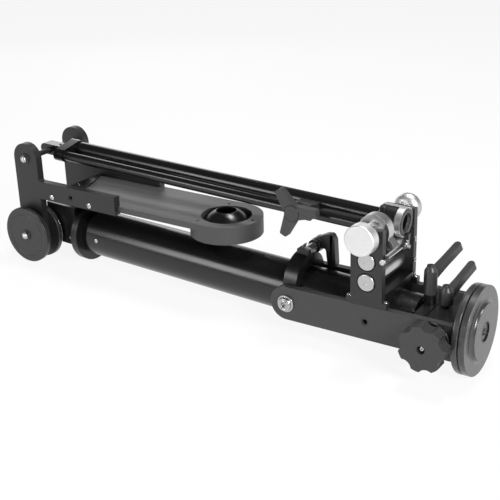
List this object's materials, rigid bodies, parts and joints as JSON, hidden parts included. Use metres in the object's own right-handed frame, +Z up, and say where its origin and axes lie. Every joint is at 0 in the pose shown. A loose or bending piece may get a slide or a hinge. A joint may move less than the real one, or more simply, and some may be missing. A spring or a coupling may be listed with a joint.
{
  "type": "camera jib crane",
  "caption": "Folded camera jib crane: a boom tube with a parallel link, a ring platform and bowl for the camera, a forked yoke and a round tripod base.",
  "frame": {"origin": "bottom centre of the folded crane's bounding box", "axes": "+X along the boom towards the tripod base, +Y to the far side, +Z up"},
  "size_m": [0.8136, 0.1746, 0.2169],
  "materials": {
    "anodised": "satin",
    "bright_metal": "satin",
    "moulded_black": "satin",
    "friction_pad": "matte"
  },
  "bodies": {
    "base": {"base_plate": "anodised"},
    "yoke": {"pan_plate": "anodised", "pan_hub": "anodised", "yoke_bar_near": "anodised", "yoke_bar_far": "anodised", "trunnion_bolt_near": "bright_metal", "trunnion_bolt_far": "bright_metal", "drag_flange": "anodised", "lock_stud_front": "bright_metal", "lock_stud_rear": "bright_metal"},
    "drag_knob": {"drag_knob": "moulded_black"},
    "front_lever": {"lock_lever_front": "moulded_black"},
    "rear_lever": {"lock_lever_rear": "moulded_black"},
    "boom": {"boom_tube": "anodised", "boom_plug": "anodised", "clamp_collar": "anodised", "collar_stud": "bright_metal", "head_saddle": "anodised", "head_plate_near": "anodised", "head_plate_far": "anodised", "head_shaft_upper": "bright_metal", "head_shaft_lower": "bright_metal", "pivot_shaft": "bright_metal", "pivot_ring": "bright_metal", "link_clamp": "bright_metal", "link_tube": "anodised", "link_lock": "anodised"},
    "collar_lever": {"collar_lever": "moulded_black"},
    "near_knob": {"pivot_knob_near": "bright_metal"},
    "far_knob": {"pivot_knob_far": "bright_metal"},
    "tee_knob": {"tee_knob": "moulded_black"},
    "front": {"inner_tube": "anodised", "boom_fork": "anodised", "front_axle": "bright_metal", "friction_disc_near": "anodised", "friction_disc_far": "anodised", "friction_pad_near": "friction_pad", "friction_pad_far": "friction_pad", "inner_disc_near": "anodised", "inner_disc_far": "anodised"},
    "bracket": {"side_plate_near": "anodised", "side_plate_far": "anodised", "cross_shaft": "bright_metal", "camera_platform": "anodised", "camera_bowl": "anodised"},
    "link_rod": {"link_rod": "anodised"}
  },
  "joints": [
    {"name": "base_pan", "type": "hinge", "parent": "base", "child": "yoke", "pos_m": [0.40506, 0.00097, 0.06288], "axis": [0.9991, 0, 0.0434], "continuous": true},
    {"name": "drag_knob_turn", "type": "hinge", "parent": "yoke", "child": "drag_knob", "pos_m": [0.35261, 0.00097, 0.0606], "axis": [0, -1, 0], "continuous": true},
    {"name": "front_lever_turn", "type": "hinge", "parent": "yoke", "child": "front_lever", "pos_m": [0.32614, 0.00097, 0.05944], "axis": [-0.0434, 0, 0.9991], "range_deg": [-70, 40]},
    {"name": "rear_lever_turn", "type": "hinge", "parent": "yoke", "child": "rear_lever", "pos_m": [0.34912, 0.00097, 0.06044], "axis": [-0.0434, 0, 0.9991], "range_deg": [-24, 37]},
    {"name": "yoke_fold", "type": "hinge", "parent": "yoke", "child": "boom", "pos_m": [0.13232, 0.00097, 0.05101], "axis": [0, -1, 0], "range_deg": [0, 130]},
    {"name": "collar_lever_turn", "type": "hinge", "parent": "boom", "child": "collar_lever", "pos_m": [0.13432, 0.00097, 0.11302], "axis": [0, -1, 0], "range_deg": [-4, 120]},
    {"name": "near_knob_turn", "type": "hinge", "parent": "boom", "child": "near_knob", "pos_m": [0.25255, 0.00097, 0.18296], "axis": [0, -1, 0], "continuous": true},
    {"name": "far_knob_turn", "type": "hinge", "parent": "boom", "child": "far_knob", "pos_m": [0.25255, 0.00097, 0.18296], "axis": [0, 1, 0], "continuous": true},
    {"name": "tee_knob_turn", "type": "hinge", "parent": "boom", "child": "tee_knob", "pos_m": [0.13382, 0.00097, 0.18602], "axis": [0, -1, 0], "continuous": true},
    {"name": "boom_extend", "type": "slide", "parent": "boom", "child": "front", "axis": [-1, 0, 0], "range_m": [0, 0.08]},
    {"name": "camera_tilt", "type": "hinge", "parent": "front", "child": "bracket", "pos_m": [-0.35938, 0.00097, 0.05101], "axis": [0, -1, 0], "range_deg": [-2, 2.5]},
    {"name": "link_slide", "type": "slide", "parent": "front", "child": "link_rod", "axis": [1, 0, 0], "range_m": [-0.006, 0.005]}
  ],
  "couplings": [
    {"joint": "link_slide", "follows": "camera_tilt", "m_per_rad": -0.1288}
  ]
}
